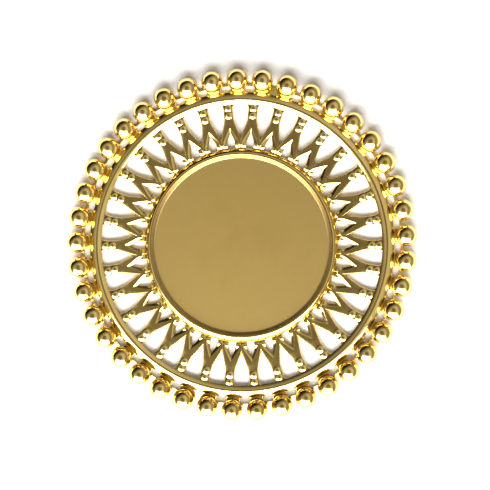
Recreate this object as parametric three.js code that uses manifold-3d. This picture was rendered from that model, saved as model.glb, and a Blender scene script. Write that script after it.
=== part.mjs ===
// Openwork brass flower frog: a plain round dish in the middle, a gallery of Y-shaped struts
// round it for the stems to stand between, and a border of balls with flat backs. The pieces
// are soldered face up on a flat block, so all their backs but the bezel's are level.
//
// Units are millimetres, +Z is up. The origin is the centre of the dish plate's underside,
// which lies on the table. Angles are degrees counter-clockwise from +X, seen from above.

import * as THREE from "three";
import { mergeVertices } from "three/addons/utils/BufferGeometryUtils.js";
import Module from "manifold-3d";

// ---- Joints -------------------------------------------------------------------------------

const solderGap = 0.3; // clear width of every soldered joint

// ---- Dish plate and bezel -----------------------------------------------------------------

const dishDiameter = 44.2; // across the dish, inside the bezel
const plateThickness = 0.8;
const plateLap = 2.1; // how far the plate reaches under the bezel
const seatDepth = 0.4; // the plate's edge is turned down this far, as a seat for the bezel
const bezelWidth = 2.6;
const bezelHeight = 1.3;
const bezelSideHeight = 0.3; // upright side below the rounded top

// ---- Gallery of Y struts ------------------------------------------------------------------

const strutCount = 34;
const strutPhase = 0.25; // degrees from +X to the first strut
const galleryWidth = 11.3; // from the bezel's outer edge to the rim ring's inner edge
const strutThickness = 1.5;
const stemWidth = 2.4;
const shoulderReach = 7.2; // from the bezel's outer edge to where the arms leave the stem
const crotchReach = 4.4; // from the bezel's outer edge to the crotch of the fork
const tipReach = 2.9; // from the bezel's outer edge to the tip of the opening between two struts
const footDepth = 1.8; // foot bar, measured along the radius
const footGrainWidth = 1.3; // one foot grain, measured round the ring
const footGrainHeight = 0.45; // grain above the strut's top
const stemGrainDiameter = 1.75;
const stemGrainCount = 2;
const stemGrainPitch = 1.85;
const stemGrainHeight = 0.55; // grain above the strut's top
const stemFlare = 0.35; // how much each side of the stem spreads where it meets the rim ring
const stemFlareLength = 0.9;

// ---- Rim ring -----------------------------------------------------------------------------

const rimWidth = 3.0;
const rimHeight = 1.8;
const rimSideHeight = 0.7;

// ---- Ball border --------------------------------------------------------------------------

const ballCount = 41;
const ballPhase = 3.5; // degrees from +X to the first ball
const ballDiameter = 5.6;
const ballCentreHeight = 1.8; // over the ball's flat back
const ballClearance = 0.4; // between the rim ring's outer edge and the balls
const webThickness = 0.9; // the border web, which carries the balls on its necks
const webBridgeInner = 1.6; // from the rim ring's outer edge to the bridges between the necks
const webBridgeWidth = 1.0;
const neckWidth = 3.5; // each ball's neck where it meets the rim ring
const seamGaps = [8, 28]; // the gaps between balls, counted from the first, where the halves meet
const seamLugWidth = 1.35; // web beyond the bridges' inner edge at a seam

// ---- Mesh fineness ------------------------------------------------------------------------

const ringSegments = 96;
const domeSteps = 6; // even, so that a half-round has a point at its crest
const ballSides = 10;
const ballRows = 5;
const grainSides = 6;
const grainRows = 4;

// ---- Sizes that follow from the ones above --------------------------------------------------

const bezelInner = dishDiameter / 2;
const bezelOuter = bezelInner + bezelWidth;
const plateRadius = bezelInner + plateLap;
const floorRadius = bezelInner - solderGap;
const seatHeight = plateThickness - seatDepth;
const bezelBase = seatHeight + solderGap;
const rimInner = bezelOuter + galleryWidth;
const rimOuter = rimInner + rimWidth;
const ballRadius = ballDiameter / 2;
const ballReach = ballClearance + ballRadius; // from the rim ring's outer edge to the balls' centres
const ballCircle = rimOuter + ballReach;
const strutPitch = 360 / strutCount;
const ballPitch = 360 / ballCount;

// ---- Materials ------------------------------------------------------------------------------

const polishedBrass = { color: 0xcfa54a, roughness: 0.16, metalness: 1 };
const satinBrass = { color: 0xb69a5c, roughness: 0.42, metalness: 1 };

const wasm = await Module();
wasm.setup();

function toSolid(geometry) {
  const bare = new THREE.BufferGeometry();
  bare.setAttribute("position", geometry.getAttribute("position"));
  if (geometry.index) bare.setIndex(geometry.index);
  const merged = mergeVertices(bare, 1e-4);
  return new wasm.Manifold(
    new wasm.Mesh({
      numProp: 3,
      vertProperties: new Float32Array(merged.attributes.position.array),
      triVerts: new Uint32Array(merged.index.array),
    }),
  );
}

function toGeometry(solid) {
  const mesh = solid.getMesh();
  const geometry = new THREE.BufferGeometry();
  geometry.setAttribute("position", new THREE.BufferAttribute(mesh.vertProperties, 3));
  geometry.setIndex(new THREE.BufferAttribute(mesh.triVerts, 1));
  geometry.computeVertexNormals();
  return geometry;
}

function joined(geometries) {
  const solids = geometries.map(toSolid);
  return toGeometry(solids.reduce((whole, next) => whole.add(next)));
}

function named(name, geometry, finish) {
  const mesh = new THREE.Mesh(geometry, new THREE.MeshStandardMaterial(finish));
  mesh.name = name;
  return mesh;
}

// The point at a radius and an angle in degrees.
function polar(radius, degrees) {
  const angle = THREE.MathUtils.degToRad(degrees);
  return new THREE.Vector2(radius * Math.cos(angle), radius * Math.sin(angle));
}

// ---- Dish plate -----------------------------------------------------------------------------

// A turned disc: its floor fits inside the bezel, which sits on the lower step round its edge.
function dishPlate() {
  const section = [
    new THREE.Vector2(0, 0),
    new THREE.Vector2(plateRadius, 0),
    new THREE.Vector2(plateRadius, seatHeight),
    new THREE.Vector2(floorRadius, seatHeight),
    new THREE.Vector2(floorRadius, plateThickness),
    new THREE.Vector2(0, plateThickness),
  ];
  const disc = new THREE.LatheGeometry(section, ringSegments);
  disc.rotateX(Math.PI / 2);
  return named("dish_plate", disc, satinBrass);
}

// ---- Half-round rings -----------------------------------------------------------------------

// A ring with a flat underside, short upright sides and a half-round top.
function halfRoundRing(inner, width, base, height, sideHeight) {
  const middle = inner + width / 2;
  const domeBase = base + sideHeight;
  const domeHeight = height - sideHeight;
  const section = [new THREE.Vector2(inner + width, base)];
  for (let step = 0; step <= domeSteps; step++) {
    const angle = (Math.PI * step) / domeSteps;
    section.push(
      new THREE.Vector2(
        middle + (width / 2) * Math.cos(angle),
        domeBase + domeHeight * Math.sin(angle),
      ),
    );
  }
  section.push(new THREE.Vector2(inner, base));
  section.push(section[0].clone());
  const ring = new THREE.LatheGeometry(section, ringSegments);
  ring.rotateX(Math.PI / 2);
  return ring;
}

function bezelRing() {
  const ring = halfRoundRing(bezelInner, bezelWidth, bezelBase, bezelHeight, bezelSideHeight);
  return named("bezel_ring", ring, polishedBrass);
}

function rimRing() {
  const ring = halfRoundRing(rimInner, rimWidth, 0, rimHeight, rimSideHeight);
  return named("rim_ring", ring, polishedBrass);
}

// ---- Y struts ---------------------------------------------------------------------------------

// A strut lies along +X. Its arms reach the two planes halfway to its neighbours, where each
// foot meets the neighbour's foot and the pair forms a bar of two grains against the bezel.
const halfPitch = strutPitch / 2;
const towardSeam = polar(1, halfPitch); // along the plane halfway to the next strut
const acrossSeam = polar(1, halfPitch + 90); // out of that plane, away from this strut
const footInner = bezelOuter + solderGap;
const footOuter = footInner + footDepth;
const stemEnd = rimInner - solderGap;

// A point by its distance along the seam plane and its distance back from that plane.
function fromSeam(along, back) {
  return towardSeam.clone().multiplyScalar(along).addScaledVector(acrossSeam, -back);
}

function strutPlate() {
  const seamSide = solderGap / 2;
  const crotch = new THREE.Vector2(bezelOuter + crotchReach, 0);
  const side = [
    new THREE.Vector2(stemEnd, stemWidth / 2 + stemFlare),
    new THREE.Vector2(stemEnd - stemFlareLength, stemWidth / 2),
    new THREE.Vector2(bezelOuter + shoulderReach, stemWidth / 2),
    fromSeam(bezelOuter + tipReach, seamSide),
    fromSeam(footInner, seamSide),
    fromSeam(footInner, seamSide + footGrainWidth),
    fromSeam(footOuter, seamSide + footGrainWidth),
  ];
  const mirrored = side.map((point) => new THREE.Vector2(point.x, -point.y)).reverse();
  const outline = new THREE.Shape([...side, crotch, ...mirrored]);
  return new THREE.ExtrudeGeometry(outline, { depth: strutThickness, bevelEnabled: false });
}

// A grain is a low ellipsoid: a third of its height stands proud of the strut's top.
function grain(length, width, proud) {
  const bead = new THREE.SphereGeometry(0.5, grainSides, grainRows);
  bead.rotateX(Math.PI / 2);
  bead.scale(length, width, 3 * proud);
  bead.translate(0, 0, strutThickness - proud / 2);
  return bead;
}

function stemGrains() {
  const grains = [];
  const outermost = stemEnd - stemGrainDiameter / 2;
  for (let index = 0; index < stemGrainCount; index++) {
    const bead = grain(stemGrainDiameter, stemGrainDiameter, stemGrainHeight);
    bead.translate(outermost - index * stemGrainPitch, 0, 0);
    grains.push(bead);
  }
  return grains;
}

function footGrain(side) {
  const bead = grain(footDepth, footGrainWidth, footGrainHeight);
  const place = fromSeam(footInner + footDepth / 2, solderGap / 2 + footGrainWidth / 2);
  bead.rotateZ(THREE.MathUtils.degToRad(side * halfPitch));
  bead.translate(place.x, side * place.y, 0);
  return bead;
}

function yStrut(index, shape) {
  const strut = named(`y_strut_${String(index + 1).padStart(2, "0")}`, shape, polishedBrass);
  strut.rotation.z = THREE.MathUtils.degToRad(strutPhase + index * strutPitch);
  return strut;
}

// ---- Ball border ------------------------------------------------------------------------------

const webInner = rimOuter + solderGap;
const bridgeInner = rimOuter + webBridgeInner;
const bridgeOuter = bridgeInner + webBridgeWidth;
const lugOuter = bridgeInner + seamLugWidth;
const neckHalfAngle = THREE.MathUtils.radToDeg(neckWidth / 2 / webInner);
const seamHalfAngle = THREE.MathUtils.radToDeg(solderGap / 2 / ballCircle);

// A ball with a flat back: turned, and widest at the height of its centre.
function flatBackedBall() {
  const backRadius = Math.sqrt(ballRadius ** 2 - ballCentreHeight ** 2);
  const profile = [new THREE.Vector2(0, 0), new THREE.Vector2(backRadius, 0)];
  for (let row = 0; row < ballRows; row++) {
    const angle = (Math.PI * row) / ballRows / 2;
    profile.push(
      new THREE.Vector2(
        ballRadius * Math.cos(angle),
        ballCentreHeight + ballRadius * Math.sin(angle),
      ),
    );
  }
  profile.push(new THREE.Vector2(0, ballCentreHeight + ballRadius));
  const ball = new THREE.LatheGeometry(profile, ballSides);
  ball.rotateX(Math.PI / 2);
  ball.rotateZ(Math.PI / 2);
  return ball;
}

// A ball beside a seam stops short of the solder there, if it is large enough to reach it.
function cutAtSeam(ball, seamAngle, side) {
  const cutter = new THREE.BoxGeometry(2 * ballDiameter, ballDiameter, 4 * ballDiameter);
  cutter.translate(ballCircle, (side * (ballDiameter - solderGap)) / 2, 0);
  cutter.rotateZ(THREE.MathUtils.degToRad(seamAngle));
  return toGeometry(toSolid(ball).subtract(toSolid(cutter)));
}

// The web between a ball and the next one: its neck, a window next to the rim ring and the
// bridge beyond that window.
function windowEdge(ballAngle) {
  const gapMiddle = ballAngle + ballPitch / 2;
  const windowHalfAngle = ballPitch / 2 - neckHalfAngle;
  return [
    polar(webInner, ballAngle + neckHalfAngle),
    polar(bridgeInner, gapMiddle - windowHalfAngle / 2),
    polar(bridgeInner, gapMiddle + windowHalfAngle / 2),
    polar(webInner, ballAngle + ballPitch - neckHalfAngle),
  ];
}

// One half of the border, from the seam in one gap to the seam in a later gap.
function borderHalf(name, firstGap, lastGap) {
  const firstBall = ballPhase + (firstGap + 1) * ballPitch;
  const ballsHere = lastGap - firstGap;
  const startAngle = firstBall - ballPitch / 2 + seamHalfAngle;
  const endAngle = firstBall + (ballsHere - 0.5) * ballPitch - seamHalfAngle;
  const inner = [polar(webInner, startAngle)];
  const outer = [polar(lugOuter, startAngle), polar(lugOuter, firstBall)];
  for (let index = 0; index < ballsHere; index++) {
    const ballAngle = firstBall + index * ballPitch;
    inner.push(polar(webInner, ballAngle));
    if (index < ballsHere - 1) {
      inner.push(...windowEdge(ballAngle));
      outer.push(polar(bridgeOuter, ballAngle));
      outer.push(polar(bridgeOuter, ballAngle + ballPitch / 2));
    }
  }
  const lastBall = firstBall + (ballsHere - 1) * ballPitch;
  inner.push(polar(webInner, endAngle));
  outer.push(polar(bridgeOuter, lastBall), polar(lugOuter, lastBall), polar(lugOuter, endAngle));
  const web = new THREE.ExtrudeGeometry(new THREE.Shape([...outer, ...inner.reverse()]), {
    depth: webThickness,
    bevelEnabled: false,
  });
  const pieces = [web];
  for (let index = 0; index < ballsHere; index++) {
    let ball = flatBackedBall();
    const degrees = firstBall + index * ballPitch;
    const place = polar(ballCircle, degrees);
    ball.rotateZ(THREE.MathUtils.degToRad(degrees));
    ball.translate(place.x, place.y, 0);
    if (index === 0) ball = cutAtSeam(ball, degrees - ballPitch / 2, -1);
    if (index === ballsHere - 1) ball = cutAtSeam(ball, degrees + ballPitch / 2, 1);
    pieces.push(ball);
  }
  return named(name, joined(pieces), polishedBrass);
}

// ---- Assembly -----------------------------------------------------------------------------------

const flowerFrog = new THREE.Group();
flowerFrog.name = "flower_frog";
flowerFrog.add(dishPlate(), bezelRing(), rimRing());

const strutShape = joined([strutPlate(), ...stemGrains(), footGrain(1), footGrain(-1)]);
for (let index = 0; index < strutCount; index++) flowerFrog.add(yStrut(index, strutShape));

const [firstSeam, secondSeam] = seamGaps;
flowerFrog.add(borderHalf("ball_border_left", firstSeam, secondSeam));
flowerFrog.add(borderHalf("ball_border_right", secondSeam, firstSeam + ballCount));

export default flowerFrog;
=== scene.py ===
# Openwork brass flower frog on a white table, seen from almost straight above: a satin dish in
# a ridged bezel, a gallery of cast Y struts, a ridged rim ring and a border of cast balls.
# Every piece is made in metres in the frame's own place, with +Z up and the dish on the Z axis.

import math
import random

import bmesh
import bpy
from mathutils import Matrix, Vector, noise


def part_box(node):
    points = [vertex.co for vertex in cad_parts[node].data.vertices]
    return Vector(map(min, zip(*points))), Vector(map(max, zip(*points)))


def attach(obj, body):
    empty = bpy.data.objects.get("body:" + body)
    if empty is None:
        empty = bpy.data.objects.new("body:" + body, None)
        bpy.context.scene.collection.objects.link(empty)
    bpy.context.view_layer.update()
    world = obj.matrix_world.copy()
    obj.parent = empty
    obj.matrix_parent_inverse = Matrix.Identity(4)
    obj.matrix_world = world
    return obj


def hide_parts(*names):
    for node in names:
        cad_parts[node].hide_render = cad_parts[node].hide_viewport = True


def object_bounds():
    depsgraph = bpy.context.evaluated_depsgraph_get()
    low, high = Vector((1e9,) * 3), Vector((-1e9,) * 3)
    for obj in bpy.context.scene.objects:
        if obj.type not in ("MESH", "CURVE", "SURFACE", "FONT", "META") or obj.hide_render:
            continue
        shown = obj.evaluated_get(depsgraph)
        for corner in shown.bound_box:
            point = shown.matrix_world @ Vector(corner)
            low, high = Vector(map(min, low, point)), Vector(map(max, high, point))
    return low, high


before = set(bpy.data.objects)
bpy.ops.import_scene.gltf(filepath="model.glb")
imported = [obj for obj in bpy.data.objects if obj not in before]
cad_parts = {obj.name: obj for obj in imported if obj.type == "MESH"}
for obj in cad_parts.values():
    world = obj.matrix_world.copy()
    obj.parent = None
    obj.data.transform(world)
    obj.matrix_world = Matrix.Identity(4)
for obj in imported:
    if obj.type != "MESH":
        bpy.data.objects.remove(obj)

cad_low, cad_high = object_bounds()

# ---- Dish plate -----------------------------------------------------------------------------
# The floor of the dish: a disc of sheet brass, turned down round its edge as a seat for the
# bezel. Its floor is rubbed to a satin, clouded by years of handling and cleaning, and coloured
# darker toward the middle.

mm = 0.001
plate_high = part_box("dish_plate")[1]
bezel_low, bezel_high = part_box("bezel_ring")
bezel_width = 2.6 * mm
bezel_inner = bezel_high.x - bezel_width
plate_seat_depth = 0.4 * mm
plate_edge_radius = 0.18 * mm
plate_solder_lap = 0.15 * mm
paling_start = 9 * mm
paling_end = 19 * mm


def new_finish(name):
    """A material with a bare shader on its output, ready for a piece's own pattern."""
    finish = bpy.data.materials.new(name)
    finish.use_nodes = True
    tree = finish.node_tree
    tree.nodes.clear()
    shader = tree.nodes.new("ShaderNodeBsdfPrincipled")
    output = tree.nodes.new("ShaderNodeOutputMaterial")
    tree.links.new(shader.outputs["BSDF"], output.inputs["Surface"])
    return finish, tree, shader


def stretched_noise(tree, size, detail=3.0, roughness=0.5, stretch=(1, 1, 1), distortion=0.0):
    """Noise whose blobs are about that size in metres, stretched along the object's axes."""
    place = tree.nodes.new("ShaderNodeTexCoord")
    mapping = tree.nodes.new("ShaderNodeMapping")
    mapping.inputs["Scale"].default_value = [1 / (size * share) for share in stretch]
    blobs = tree.nodes.new("ShaderNodeTexNoise")
    blobs.inputs["Scale"].default_value = 1
    blobs.inputs["Detail"].default_value = detail
    blobs.inputs["Roughness"].default_value = roughness
    blobs.inputs["Distortion"].default_value = distortion
    tree.links.new(place.outputs["Object"], mapping.inputs["Vector"])
    tree.links.new(mapping.outputs["Vector"], blobs.inputs["Vector"])
    return blobs.outputs["Fac"]


def ranged(tree, value, low, high, start=0.0, end=1.0):
    """A value between start and end becomes one between low and high, eased at both ends."""
    ramp = tree.nodes.new("ShaderNodeMapRange")
    ramp.interpolation_type = "SMOOTHSTEP"
    ramp.inputs["From Min"].default_value = start
    ramp.inputs["From Max"].default_value = end
    ramp.inputs["To Min"].default_value = low
    ramp.inputs["To Max"].default_value = high
    tree.links.new(value, ramp.inputs["Value"])
    return ramp.outputs["Result"]


def blended(tree, share, first, second):
    """The first colour where the share is 0, and the second where it is 1."""
    mix = tree.nodes.new("ShaderNodeMix")
    mix.data_type = "RGBA"
    tree.links.new(share, mix.inputs["Factor"])
    for socket, colour in ((mix.inputs[6], first), (mix.inputs[7], second)):
        if isinstance(colour, bpy.types.NodeSocket):
            tree.links.new(colour, socket)
        else:
            socket.default_value = (*colour, 1)
    return mix.outputs[2]


def raised(tree, height, depth, strength=1.0, under=None):
    """A bump of that depth in metres, on top of another bump if there is one."""
    bump = tree.nodes.new("ShaderNodeBump")
    bump.inputs["Strength"].default_value = strength
    bump.inputs["Distance"].default_value = depth
    tree.links.new(height, bump.inputs["Height"])
    if under:
        tree.links.new(under, bump.inputs["Normal"])
    return bump.outputs["Normal"]


def satin_brass(name, darker_tone, paler_tone, roughness):
    """Brass rubbed with fine abrasive: clouded colour, darker toward the middle and paler and a
    little glossier away from it, faint streaks and a broad sheen."""
    finish, tree, shader = new_finish(name)
    clouds = ranged(tree, stretched_noise(tree, 14 * mm, 5, 0.6, distortion=0.4), 0, 1, 0.3, 0.75)
    place = tree.nodes.new("ShaderNodeTexCoord")
    from_middle = tree.nodes.new("ShaderNodeVectorMath")
    from_middle.operation = "LENGTH"
    tree.links.new(place.outputs["Object"], from_middle.inputs[0])
    # The colour is darker toward the middle, and paler and a little glossier from 9 mm out to 19
    # mm.
    away = ranged(tree, from_middle.outputs["Value"], 0, 1, paling_start, paling_end)
    tone_mix = tree.nodes.new("ShaderNodeMath")
    tone_mix.operation = "MULTIPLY_ADD"
    tone_mix.inputs[1].default_value = 0.5
    tree.links.new(clouds, tone_mix.inputs[0])
    tree.links.new(ranged(tree, away, 0, 0.5), tone_mix.inputs[2])
    paleness = tone_mix.outputs["Value"]
    streaks = stretched_noise(tree, 0.25 * mm, 2, stretch=(1, 26, 1))
    grain = stretched_noise(tree, 0.09 * mm, 2)
    colour = blended(tree, paleness, darker_tone, paler_tone)
    tree.links.new(colour, shader.inputs["Base Color"])
    sheen = ranged(tree, paleness, roughness + 0.02, roughness - 0.02)
    tree.links.new(sheen, shader.inputs["Roughness"])
    rubbed = raised(tree, streaks, 0.004 * mm, 0.6)
    tree.links.new(raised(tree, grain, 0.003 * mm, 0.6, rubbed), shader.inputs["Normal"])
    shader.inputs["Metallic"].default_value = 1
    return finish


def turned(section, steps=192, corners=(), corner_radius=0.0):
    """Turns a closed section of (radius, height) points round the Z axis, as on a lathe."""
    turning = bmesh.new()
    points = [turning.verts.new((radius, 0, height)) for radius, height in section]
    face = turning.faces.new(points)
    if corners:
        bmesh.ops.bevel(
            turning, geom=[points[index] for index in corners], affect="VERTICES",
            offset=corner_radius, segments=4, profile=0.5, material=-1)
    bmesh.ops.delete(turning, geom=turning.faces[:], context="FACES_ONLY")
    on_axis = [e for e in turning.edges if all(abs(v.co.x) < 1e-9 for v in e.verts)]
    bmesh.ops.delete(turning, geom=on_axis, context="EDGES")
    bmesh.ops.spin(
        turning, geom=turning.verts[:] + turning.edges[:], cent=(0, 0, 0), axis=(0, 0, 1),
        angle=math.tau, steps=steps, use_merge=True)
    bmesh.ops.remove_doubles(turning, verts=turning.verts, dist=1e-7)
    bmesh.ops.recalc_face_normals(turning, faces=turning.faces)
    return turning


def piece_from(name, shape, finish, crease=40, facets=False):
    """The finished piece: smooth, but for edges sharper than the crease in degrees. A piece with
    facets keeps its large faces flat, and only its rounded edges turn the light."""
    mesh = bpy.data.meshes.new(name)
    shape.to_mesh(mesh)
    shape.free()
    mesh.polygons.foreach_set("use_smooth", [True] * len(mesh.polygons))
    mesh.set_sharp_from_angle(angle=math.radians(crease))
    mesh.materials.append(finish)
    piece = bpy.data.objects.new(name, mesh)
    bpy.context.scene.collection.objects.link(piece)
    if facets:
        flat = piece.modifiers.new("flat_facets", "WEIGHTED_NORMAL")
        flat.keep_sharp = True
        flat.weight = 90
    return piece


plate_seat = plate_high.z - plate_seat_depth
plate_section = [
    (0, 0),
    (plate_high.x, 0),
    (plate_high.x, plate_seat),
    (bezel_inner + plate_solder_lap, plate_seat),
    (bezel_inner + plate_solder_lap, plate_high.z),
    (0, plate_high.z),
]
dish_floor = piece_from(
    "dish_floor", turned(plate_section, corners=(1, 2), corner_radius=plate_edge_radius),
    satin_brass("satin_brass", (0.62, 0.44, 0.137), (0.86, 0.62, 0.21), 0.34))
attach(dish_floor, "root")
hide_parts("dish_plate")

# ---- Bezel ----------------------------------------------------------------------------------
# The raised ring round the dish: cast brass, soldered onto the seat on the plate's edge. Its
# inner side is steep, rubbed to a satin and coloured much darker than the floor; its outer side
# is rounded and bright.

bezel_crest = 0.5 * bezel_width
bezel_inner_foot = 0.35 * mm
bezel_shoulder = 1.0 * mm
bezel_crest_half = 0.22 * mm
bezel_base = bezel_low.z - 0.28 * mm
bezel_outer_bulge = 0.12 * mm
bezel_inner_bulge = 0.06 * mm
ridge_corner = 0.12 * mm
arc_steps = 8


def polished_brass():
    """Cast brass, polished bright: warm and cool tones, a soft ripple, fine scratches, and
    patches coloured darker and more olive low down, near the table."""
    finish, tree, shader = new_finish("polished_brass")
    tones = ranged(tree, stretched_noise(tree, 5 * mm, 4), 0, 1, 0.35, 0.65)
    bright = blended(tree, tones, (0.86, 0.63, 0.21), (0.90, 0.68, 0.26))
    place = tree.nodes.new("ShaderNodeTexCoord")
    height = tree.nodes.new("ShaderNodeSeparateXYZ")
    tree.links.new(place.outputs["Object"], height.inputs["Vector"])
    # Patches low down, near the table, are coloured darker and more olive.
    low_down = ranged(tree, height.outputs["Z"], 1, 0, 0.1 * mm, 1.5 * mm)
    patches = ranged(tree, stretched_noise(tree, 1.6 * mm, 4, 0.6), 0.35, 1, 0.35, 0.7)
    low_dark_patches = tree.nodes.new("ShaderNodeMath")
    low_dark_patches.operation = "MULTIPLY"
    tree.links.new(low_down, low_dark_patches.inputs[0])
    tree.links.new(patches, low_dark_patches.inputs[1])
    colour = blended(tree, low_dark_patches.outputs["Value"], bright, (0.46, 0.33, 0.11))
    tree.links.new(colour, shader.inputs["Base Color"])
    worn = stretched_noise(tree, 2.2 * mm, 4, 0.6)
    tree.links.new(ranged(tree, worn, 0.07, 0.17, 0.35, 0.7), shader.inputs["Roughness"])
    ripple = raised(tree, stretched_noise(tree, 1.8 * mm, 2), 0.03 * mm, 0.6)
    scratches = stretched_noise(tree, 0.1 * mm, 2, stretch=(1, 14, 6))
    tree.links.new(raised(tree, scratches, 0.002 * mm, 0.5, ripple), shader.inputs["Normal"])
    shader.inputs["Metallic"].default_value = 1
    return finish


def arc(start, end, bulge, steps):
    """Points from start to end, the middle of the way pushed out sideways by the bulge."""
    start, end = Vector(start), Vector(end)
    out = Vector((end.y - start.y, start.x - end.x)).normalized() * bulge
    shares = [step / steps for step in range(steps + 1)]
    return [tuple(start.lerp(end, t) + out * (4 * t * (1 - t))) for t in shares]


cast_brass = polished_brass()
bezel_middle = bezel_inner + bezel_crest
bezel_section = [
    (bezel_inner, bezel_base),
    (bezel_high.x, bezel_base),
    *arc((bezel_high.x, bezel_high.z - bezel_shoulder),
         (bezel_middle + bezel_crest_half, bezel_high.z), bezel_outer_bulge, arc_steps),
    *arc((bezel_middle - bezel_crest_half, bezel_high.z),
         (bezel_inner + bezel_inner_foot, plate_high.z + 0.1 * mm), bezel_inner_bulge, 4),
    (bezel_inner, plate_high.z - 0.05 * mm),
]
bezel = piece_from("bezel", turned(bezel_section), cast_brass)
# The inner side: a satin finish coloured much darker than the floor's.
bezel.data.materials.append(
    satin_brass("darker_rubbed_bezel", (0.40, 0.31, 0.145), (0.44, 0.34, 0.16), 0.45))
for face in bezel.data.polygons:
    if face.center.xy.length < bezel_middle - 1.2 * bezel_crest_half:
        face.material_index = 1
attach(bezel, "root")
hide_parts("bezel_ring")

# ---- Rim ring -------------------------------------------------------------------------------
# The ring that holds the struts' outer ends: cast brass with a flat back, a low wall on each
# side and two gently rounded flanks that meet in a soft ridge, nearer its inner side.

rim_low, rim_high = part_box("rim_ring")
rim_width = 3.0 * mm
rim_inner = rim_high.x - rim_width
rim_crest = rim_inner + 1.2 * mm
rim_inner_drop = 0.5 * mm
rim_outer_drop = 0.75 * mm
rim_crest_half = 0.12 * mm
rim_outer_bulge = 0.1 * mm
rim_inner_bulge = 0.05 * mm

rim_section = [
    (rim_inner, rim_low.z),
    (rim_high.x, rim_low.z),
    *arc((rim_high.x, rim_high.z - rim_outer_drop), (rim_crest + rim_crest_half, rim_high.z),
         rim_outer_bulge, arc_steps),
    *arc((rim_crest - rim_crest_half, rim_high.z), (rim_inner, rim_high.z - rim_inner_drop),
         rim_inner_bulge, arc_steps),
]
rim = piece_from(
    "rim", turned(rim_section, corners=(0, 1), corner_radius=ridge_corner), cast_brass)
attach(rim, "root")
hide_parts("rim_ring")

# ---- Y struts -------------------------------------------------------------------------------
# Each strut is a small flat-backed casting: a stem with two low grains, a fork whose arms are
# flat on top and chamfered on the inside, and two feet like short ridged bars. It is soldered
# to both rings.

strut_nodes = sorted(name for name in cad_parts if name.startswith("y_strut_"))
half_pitch = math.pi / len(strut_nodes)
stem_half = 1.2 * mm
stem_end = rim_inner + 0.3 * mm
stem_flare = 0.8 * mm
shoulder_place = 31.9 * mm
opening_tip = 27.5 * mm
arm_overlap = 0.5 * mm
arm_end = 25.5 * mm
crotch_floor = 28.9 * mm
crotch_ridge = 30.1 * mm
arch_half = 0.95 * mm
chamfer_run = 1.05 * mm
side_draft = 0.1 * mm
strut_top = 1.5 * mm
chamfer_rise = 0.62 * mm
gallery_fall = 0.045
foot_width = 1.38 * mm
foot_start = bezel_high.x - 0.05 * mm
foot_end = 26.75 * mm
foot_eaves = 0.9 * mm
foot_ridge = 1.36 * mm
foot_ridge_half = 0.1 * mm
foot_bulge = 0.06 * mm
seam_width = 0.03 * mm
grain_curve = 1.85 * mm
grain_rise = 0.42 * mm
grain_places = (35.05 * mm, 33.25 * mm)

along_seam = Vector((math.cos(half_pitch), math.sin(half_pitch), 0))
across_seam = Vector((-math.sin(half_pitch), math.cos(half_pitch), 0))


def from_seam(along, back):
    """A point by its distance along the plane halfway to the next strut, and back from it."""
    return along_seam * along - across_seam * back


def bent(before, corner, after, radius, steps):
    """The points of a rounded corner, from one of its straight sides to the other."""
    start = corner + (before - corner).normalized() * radius
    end = corner + (after - corner).normalized() * radius
    shares = [step / steps for step in range(steps + 1)]
    return [start.lerp(corner, t).lerp(corner.lerp(end, t), t) for t in shares]


def strut_outline(draft, chamfer, crotch_place):
    """The outline of the stem and the fork, with the stem along +X: pulled in by the draft on
    the outside and by the chamfer on the inside. The arms run on past the seam between two
    struts, into the neighbour's."""
    shoulder = Vector((shoulder_place, stem_half - draft, 0))
    stem_root = Vector((stem_end, stem_half + stem_flare - draft, 0))
    flare_end = Vector((stem_end - stem_flare, stem_half - draft, 0))
    tip = from_seam(opening_tip, seam_width / 2) - Vector((0, 1.3 * draft, 0))
    arm_tip = tip + (tip - shoulder).normalized() * arm_overlap
    outer_end = Vector((arm_end, arm_tip.y, 0))
    inner_end = Vector((arm_end, arch_half + chamfer, 0))
    arch_side = Vector((arm_end + 1.1 * mm, arch_half + 0.9 * chamfer, 0))
    crotch = Vector((crotch_place, 0, 0))
    side = [
        stem_root,
        *bent(stem_root, flare_end, shoulder, 0.75 * mm, 4),
        *bent(flare_end, shoulder, arm_tip, 0.8 * mm, 3),
        arm_tip,
        outer_end,
        inner_end,
        *bent(inner_end, arch_side, crotch, 0.4 * mm, 2),
    ]
    mirrored = [Vector((point.x, -point.y, 0)) for point in reversed(side)]
    return [*side, *bent(side[-1], crotch, mirrored[0], 0.35 * mm, 4), *mirrored]


def raised_from(outline, height):
    """Raises a flat outline into a block of that height, standing on its flat back."""
    bmesh.ops.recalc_face_normals(outline, faces=outline.faces)
    if outline.faces[:][0].normal.z < 0:
        bmesh.ops.reverse_faces(outline, faces=outline.faces)
    grown = bmesh.ops.extrude_face_region(outline, geom=outline.faces[:], use_keep_orig=True)
    lifted = [item for item in grown["geom"] if isinstance(item, bmesh.types.BMVert)]
    bmesh.ops.translate(outline, verts=lifted, vec=(0, 0, height))
    bmesh.ops.recalc_face_normals(outline, faces=outline.faces)


def softened(casting, edges, radius, segments=2):
    """Rounds off some of a casting's edges."""
    bmesh.ops.bevel(
        casting, geom=edges, affect="EDGES", offset=radius, segments=segments, profile=0.5,
        material=-1, clamp_overlap=True)


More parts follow.
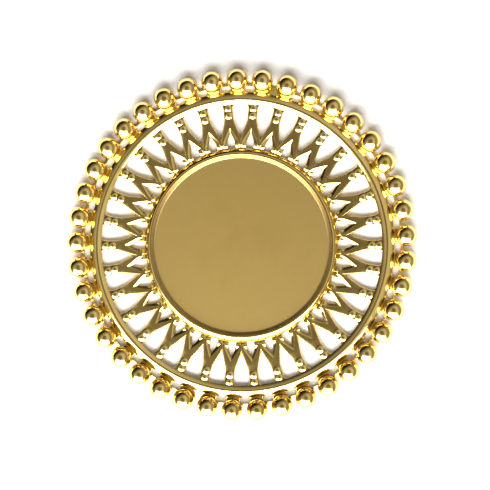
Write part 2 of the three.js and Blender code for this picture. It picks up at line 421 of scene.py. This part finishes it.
def foot_bar(side):
    """The short bar under an arm's end: low walls and a rounded ridge along the bezel."""
    foot = bmesh.new()
    middle = (foot_start + foot_end) / 2
    section = [
        (foot_start, 0), (foot_end, 0),
        *arc((foot_end, foot_eaves), (middle + foot_ridge_half, foot_ridge), foot_bulge, 4),
        *arc((middle - foot_ridge_half, foot_ridge), (foot_start, foot_eaves), foot_bulge, 4),
    ]
    start = [foot.verts.new(from_seam(along, seam_width / 2)) for along, height in section]
    for vert, (along, height) in zip(start, section):
        vert.co.z = height
    face = foot.faces.new(start)
    grown = bmesh.ops.extrude_face_region(foot, geom=[face], use_keep_orig=True)
    moved = [item for item in grown["geom"] if isinstance(item, bmesh.types.BMVert)]
    bmesh.ops.translate(foot, verts=moved, vec=-across_seam * foot_width)
    ends = [
        edge for edge in foot.edges
        if min(vert.co.z for vert in edge.verts) > 0.9 * foot_eaves
        and abs((edge.verts[0].co - edge.verts[1].co).dot(across_seam)) < 0.5 * foot_width
    ]
    softened(foot, ends, 0.12 * mm)
    if side < 0:
        bmesh.ops.scale(foot, verts=foot.verts, vec=(1, -1, 1))
    bmesh.ops.recalc_face_normals(foot, faces=foot.faces)
    return foot


def added(casting, part):
    """Adds a part to a casting."""
    scratch = bpy.data.meshes.new("part")
    part.to_mesh(scratch)
    part.free()
    casting.from_mesh(scratch)
    bpy.data.meshes.remove(scratch)


def add_grain(casting, place, cap_top):
    """A low rounded grain as wide as the stem: the cap of a much larger ball."""
    grain = bmesh.ops.create_uvsphere(casting, u_segments=24, v_segments=36, radius=grain_curve)
    bmesh.ops.translate(
        casting, verts=grain["verts"], vec=(place, 0, cap_top - grain_curve))
    sunk = [vert for vert in grain["verts"] if vert.co.z < cap_top - grain_rise]
    bmesh.ops.delete(casting, geom=sunk, context="VERTS")


def strut_shape(dice):
    """The casting: low walls, a wide chamfer inside the fork, flat tops, feet and grains."""
    base = strut_outline(0, 0, crotch_floor)
    top = strut_outline(side_draft, chamfer_run, crotch_ridge)
    strut = bmesh.new()
    strut.faces.new([strut.verts.new(point) for point in base])
    raised_from(strut, strut_top - chamfer_rise)
    lid = max(strut.faces, key=lambda face: (face.calc_center_median().z, face.calc_area()))
    grown = bmesh.ops.extrude_face_region(strut, geom=[lid])
    rising = [item for item in grown["geom"] if isinstance(item, bmesh.types.BMVert)]
    for vert in rising:
        nearest = min(range(len(base)), key=lambda index: (base[index].xy - vert.co.xy).length)
        vert.co.xy = top[nearest].xy
        vert.co.z = strut_top - gallery_fall * (vert.co.x - arm_end)
    bmesh.ops.recalc_face_normals(strut, faces=strut.faces)
    ridges = [edge for edge in strut.edges if all(vert in rising for vert in edge.verts)]
    softened(strut, ridges, 0.05 * mm)
    for place in grain_places:
        fall = gallery_fall * (place - arm_end)
        add_grain(strut, place, strut_top - fall + grain_rise * dice.uniform(0.85, 0.98))
    for side in (1, -1):
        added(strut, foot_bar(side))
    return strut


def bearing_of(node):
    """The direction from the Z axis to the middle of a CAD node, in radians."""
    middle = sum((vert.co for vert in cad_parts[node].data.vertices), Vector())
    return math.atan2(middle.y, middle.x)


dice = random.Random(34)
for node in strut_nodes:
    strut = strut_shape(dice)
    bmesh.ops.rotate(
        strut, verts=strut.verts, matrix=Matrix.Rotation(bearing_of(node), 3, "Z"))
    piece = piece_from(f"cast_{node}", strut, cast_brass, crease=50)
    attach(piece, "root")
    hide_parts(node)

# ---- Ball border ----------------------------------------------------------------------------
# Two cast halves, with 20 and 21 flat-backed balls: each is on a neck from the rim ring, and
# thin bridges join the necks. Where the halves meet, the window is filled, with a fine seam.

ball_count = 41
ball_phase = math.radians(3.5)
ball_pitch = math.tau / ball_count
ball_radius = 2.78 * mm
ball_circle = rim_high.x + 3.2 * mm
ball_lump = 1.9 * mm
ball_dent = 0.1 * mm
ball_height = cad_high.z - 0.01 * mm - ball_radius
web_top = 1.04 * mm
web_fall = 0.26
window_half = 1.3 * mm
window_outer = rim_high.x + 1.6 * mm
bridge_outer = rim_high.x + 2.5 * mm
neck_half = 1.35 * mm
seam_gaps = (8, 28)
seam_half = 0.02 * mm


def spoke_point(bearing, along, aside=0.0):
    """A point at that distance from the axis, stepped sideways from the spoke's line."""
    return Matrix.Rotation(bearing, 3, "Z") @ Vector((along, aside, 0))


def neck_web(bearing, open_after, open_before):
    """The web round one ball's neck, from the middle of one gap to the middle of the next."""
    web = bmesh.new()
    half = ball_pitch / 2
    wall = rim_high.x - 0.3 * mm
    sides = []
    for side, is_open in ((1, open_after), (-1, open_before)):
        middle = bearing + side * (half - seam_half / bridge_outer)
        points = [
            spoke_point(middle, bridge_outer - 0.35 * mm),
            spoke_point(bearing, bridge_outer + 0.55 * mm, side * neck_half * 1.2),
            spoke_point(bearing, ball_circle, side * neck_half),
        ]
        if is_open:
            window = [
                spoke_point(bearing + side * half, wall, -side * window_half),
                spoke_point(bearing + side * half, window_outer, -side * window_half),
            ]
            window_end = [spoke_point(middle, window_outer)]
        else:
            window = []
            window_end = [spoke_point(middle, wall)]
        sides.append(window + window_end + points)
    left, right = sides
    outline = [web.verts.new(point) for point in [*left, *reversed(right)]]
    web.faces.new(outline)
    corners = []
    if open_after:
        corners.append(outline[1])
    if open_before:
        corners.append(outline[-2])
    if corners:
        bmesh.ops.bevel(
            web, geom=corners, affect="VERTICES", offset=0.7 * mm, segments=5, profile=0.5,
            material=-1)
    raised_from(web, web_top)
    for vert in web.verts:
        if vert.co.z > 0.5 * web_top:
            vert.co.z -= web_fall * (vert.co.xy.length - rim_high.x)

    def at_gap_middle(vert):
        turn = Matrix.Rotation(-bearing, 3, "Z") @ vert.co
        return abs(math.atan2(turn.y, turn.x)) > half - 0.002

    rims = [
        edge for edge in web.edges
        if min(vert.co.z for vert in edge.verts) > 0.1 * web_top
        and not all(at_gap_middle(vert) for vert in edge.verts)
    ]
    softened(web, rims, 0.1 * mm)
    return web


def border_half(name, first_gap, last_gap):
    """One half of the border: its webs, side by side, with a ball sunk in the end of each. No
    ball is quite round: each is a little lumpy, as it came from the mould."""
    half = bmesh.new()
    for index in range(first_gap + 1, last_gap + 1):
        bearing = ball_phase + index * ball_pitch
        added(half, neck_web(bearing, index != last_gap, index != first_gap + 1))
        ball = bmesh.ops.create_icosphere(half, subdivisions=4, radius=ball_radius)
        bmesh.ops.translate(
            half, verts=ball["verts"],
            vec=spoke_point(bearing, ball_circle) + Vector((0, 0, ball_height)))
        for vert in ball["verts"]:
            inward = (spoke_point(bearing, ball_circle) - vert.co).normalized()
            dent = 0.5 + 0.5 * noise.noise(vert.co / ball_lump)
            vert.co += inward * dent * ball_dent
            vert.co.z = max(vert.co.z, 0)
    return piece_from(name, half, cast_brass, facets=True)


first_seam, second_seam = seam_gaps
for node, first_gap, last_gap in (
    ("ball_border_left", first_seam, second_seam),
    ("ball_border_right", second_seam, first_seam + ball_count),
):
    border = border_half(f"cast_{node}", first_gap, last_gap)
    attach(border, "root")
    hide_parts(node)

# ---- Table, light and camera ------------------------------------------------------------------
# A plain white table under one big soft window at its near side, in a dim room with a dark
# corner at the far left, and a camera above the piece, a little to its right.


def white_table():
    finish, tree, shader = new_finish("white_table")
    shade = ranged(tree, stretched_noise(tree, 40 * mm, 2), 0, 1)
    tree.links.new(
        blended(tree, shade, (0.90, 0.895, 0.885), (0.93, 0.925, 0.92)),
        shader.inputs["Base Color"])
    shader.inputs["Roughness"].default_value = 0.8
    return finish


table_shape = bmesh.new()
bmesh.ops.create_grid(table_shape, x_segments=4, y_segments=4, size=1.6)
bmesh.ops.translate(table_shape, verts=table_shape.verts, vec=(0, 0, -0.02 * mm))
table = piece_from("table", table_shape, white_table())


def toward(bearing, elevation):
    """The unit vector toward a bearing and an elevation in degrees."""
    bearing, elevation = math.radians(bearing), math.radians(elevation)
    return Vector((
        math.cos(bearing) * math.cos(elevation), math.sin(bearing) * math.cos(elevation),
        math.sin(elevation)))


def aimed(name, data, place, target):
    """A lamp at a place, facing the target."""
    lamp = bpy.data.objects.new(name, data)
    lamp.location = place
    lamp.rotation_euler = (target - place).to_track_quat("-Z", "Y").to_euler()
    bpy.context.scene.collection.objects.link(lamp)
    return lamp


window = bpy.data.lights.new("window", "AREA")
window.shape = "RECTANGLE"
window.size = 1.38
window.size_y = 0.86
window.energy = 9.2 * math.pi * window.size * window.size_y
window.color = (1.0, 0.985, 0.96)
aimed("window_light", window, toward(264, 30) * 0.75, Vector())


def room_light():
    """The room's own light, by the slope of the mirror that would show it from above: a dark
    spot overhead, a pale ceiling round it, and a dark corner at the far left."""
    world = bpy.data.worlds.new("room")
    bpy.context.scene.world = world
    world.use_nodes = True
    tree = world.node_tree
    tree.nodes.clear()
    direction = tree.nodes.new("ShaderNodeTexCoord")
    halfway = tree.nodes.new("ShaderNodeVectorMath")
    halfway.operation = "ADD"
    halfway.inputs[1].default_value = (0, 0, 1.0001)
    slope = tree.nodes.new("ShaderNodeVectorMath")
    slope.operation = "NORMALIZE"
    level = tree.nodes.new("ShaderNodeVectorMath")
    level.operation = "MULTIPLY"
    level.inputs[1].default_value = (1, 1, 0)
    steepness = tree.nodes.new("ShaderNodeVectorMath")
    steepness.operation = "LENGTH"
    tree.links.new(direction.outputs["Generated"], halfway.inputs[0])
    tree.links.new(halfway.outputs["Vector"], slope.inputs[0])
    tree.links.new(slope.outputs["Vector"], level.inputs[0])
    tree.links.new(level.outputs["Vector"], steepness.inputs[0])
    rings = tree.nodes.new("ShaderNodeValToRGB")
    rings.color_ramp.interpolation = "EASE"
    stops = rings.color_ramp.elements
    levels = (
        (0.0, (0.13, 0.115, 0.095)), (0.17, (0.17, 0.155, 0.13)), (0.26, (0.50, 0.48, 0.44)),
        (0.42, (0.46, 0.44, 0.40)), (0.52, (0.22, 0.20, 0.17)), (0.66, (0.30, 0.28, 0.25)),
        (0.75, (0.50, 0.48, 0.45)),
    )
    while len(stops) < len(levels):
        stops.new(1)
    for stop, (place, colour) in zip(stops, levels):
        stop.position = place
        stop.color = (*colour, 1)
    tree.links.new(steepness.outputs["Value"], rings.inputs["Fac"])
    corner = tree.nodes.new("ShaderNodeVectorMath")
    corner.operation = "DOT_PRODUCT"
    corner.inputs[1].default_value = toward(130, 0)
    tree.links.new(slope.outputs["Vector"], corner.inputs[0])
    shade = tree.nodes.new("ShaderNodeVectorMath")
    shade.operation = "SCALE"
    tree.links.new(rings.outputs["Color"], shade.inputs[0])
    darker = ranged(tree, corner.outputs["Value"], 1.4, 0.05, 0.0, 0.6)
    tree.links.new(darker, shade.inputs["Scale"])
    background = tree.nodes.new("ShaderNodeBackground")
    output = tree.nodes.new("ShaderNodeOutputWorld")
    tree.links.new(shade.outputs["Vector"], background.inputs["Color"])
    tree.links.new(background.outputs["Background"], output.inputs["Surface"])


room_light()

camera_tilt = 5.5
camera_bearing = 12
camera_distance = 0.5
aim = Vector((1.0 * mm, 0.02 * mm, 1.0 * mm))
back = toward(camera_bearing, 90 - camera_tilt)
right = Vector((0, 1, 0)).cross(back).normalized()
up = back.cross(right)
camera_data = bpy.data.cameras.new("camera")
camera_data.lens = 144
camera = bpy.data.objects.new("camera", camera_data)
camera.matrix_world = (
    Matrix.Translation(aim + back * camera_distance)
    @ Matrix((right, up, back)).transposed().to_4x4())
bpy.context.scene.collection.objects.link(camera)
bpy.context.scene.camera = camera
bpy.context.scene.view_settings.view_transform = "Standard"
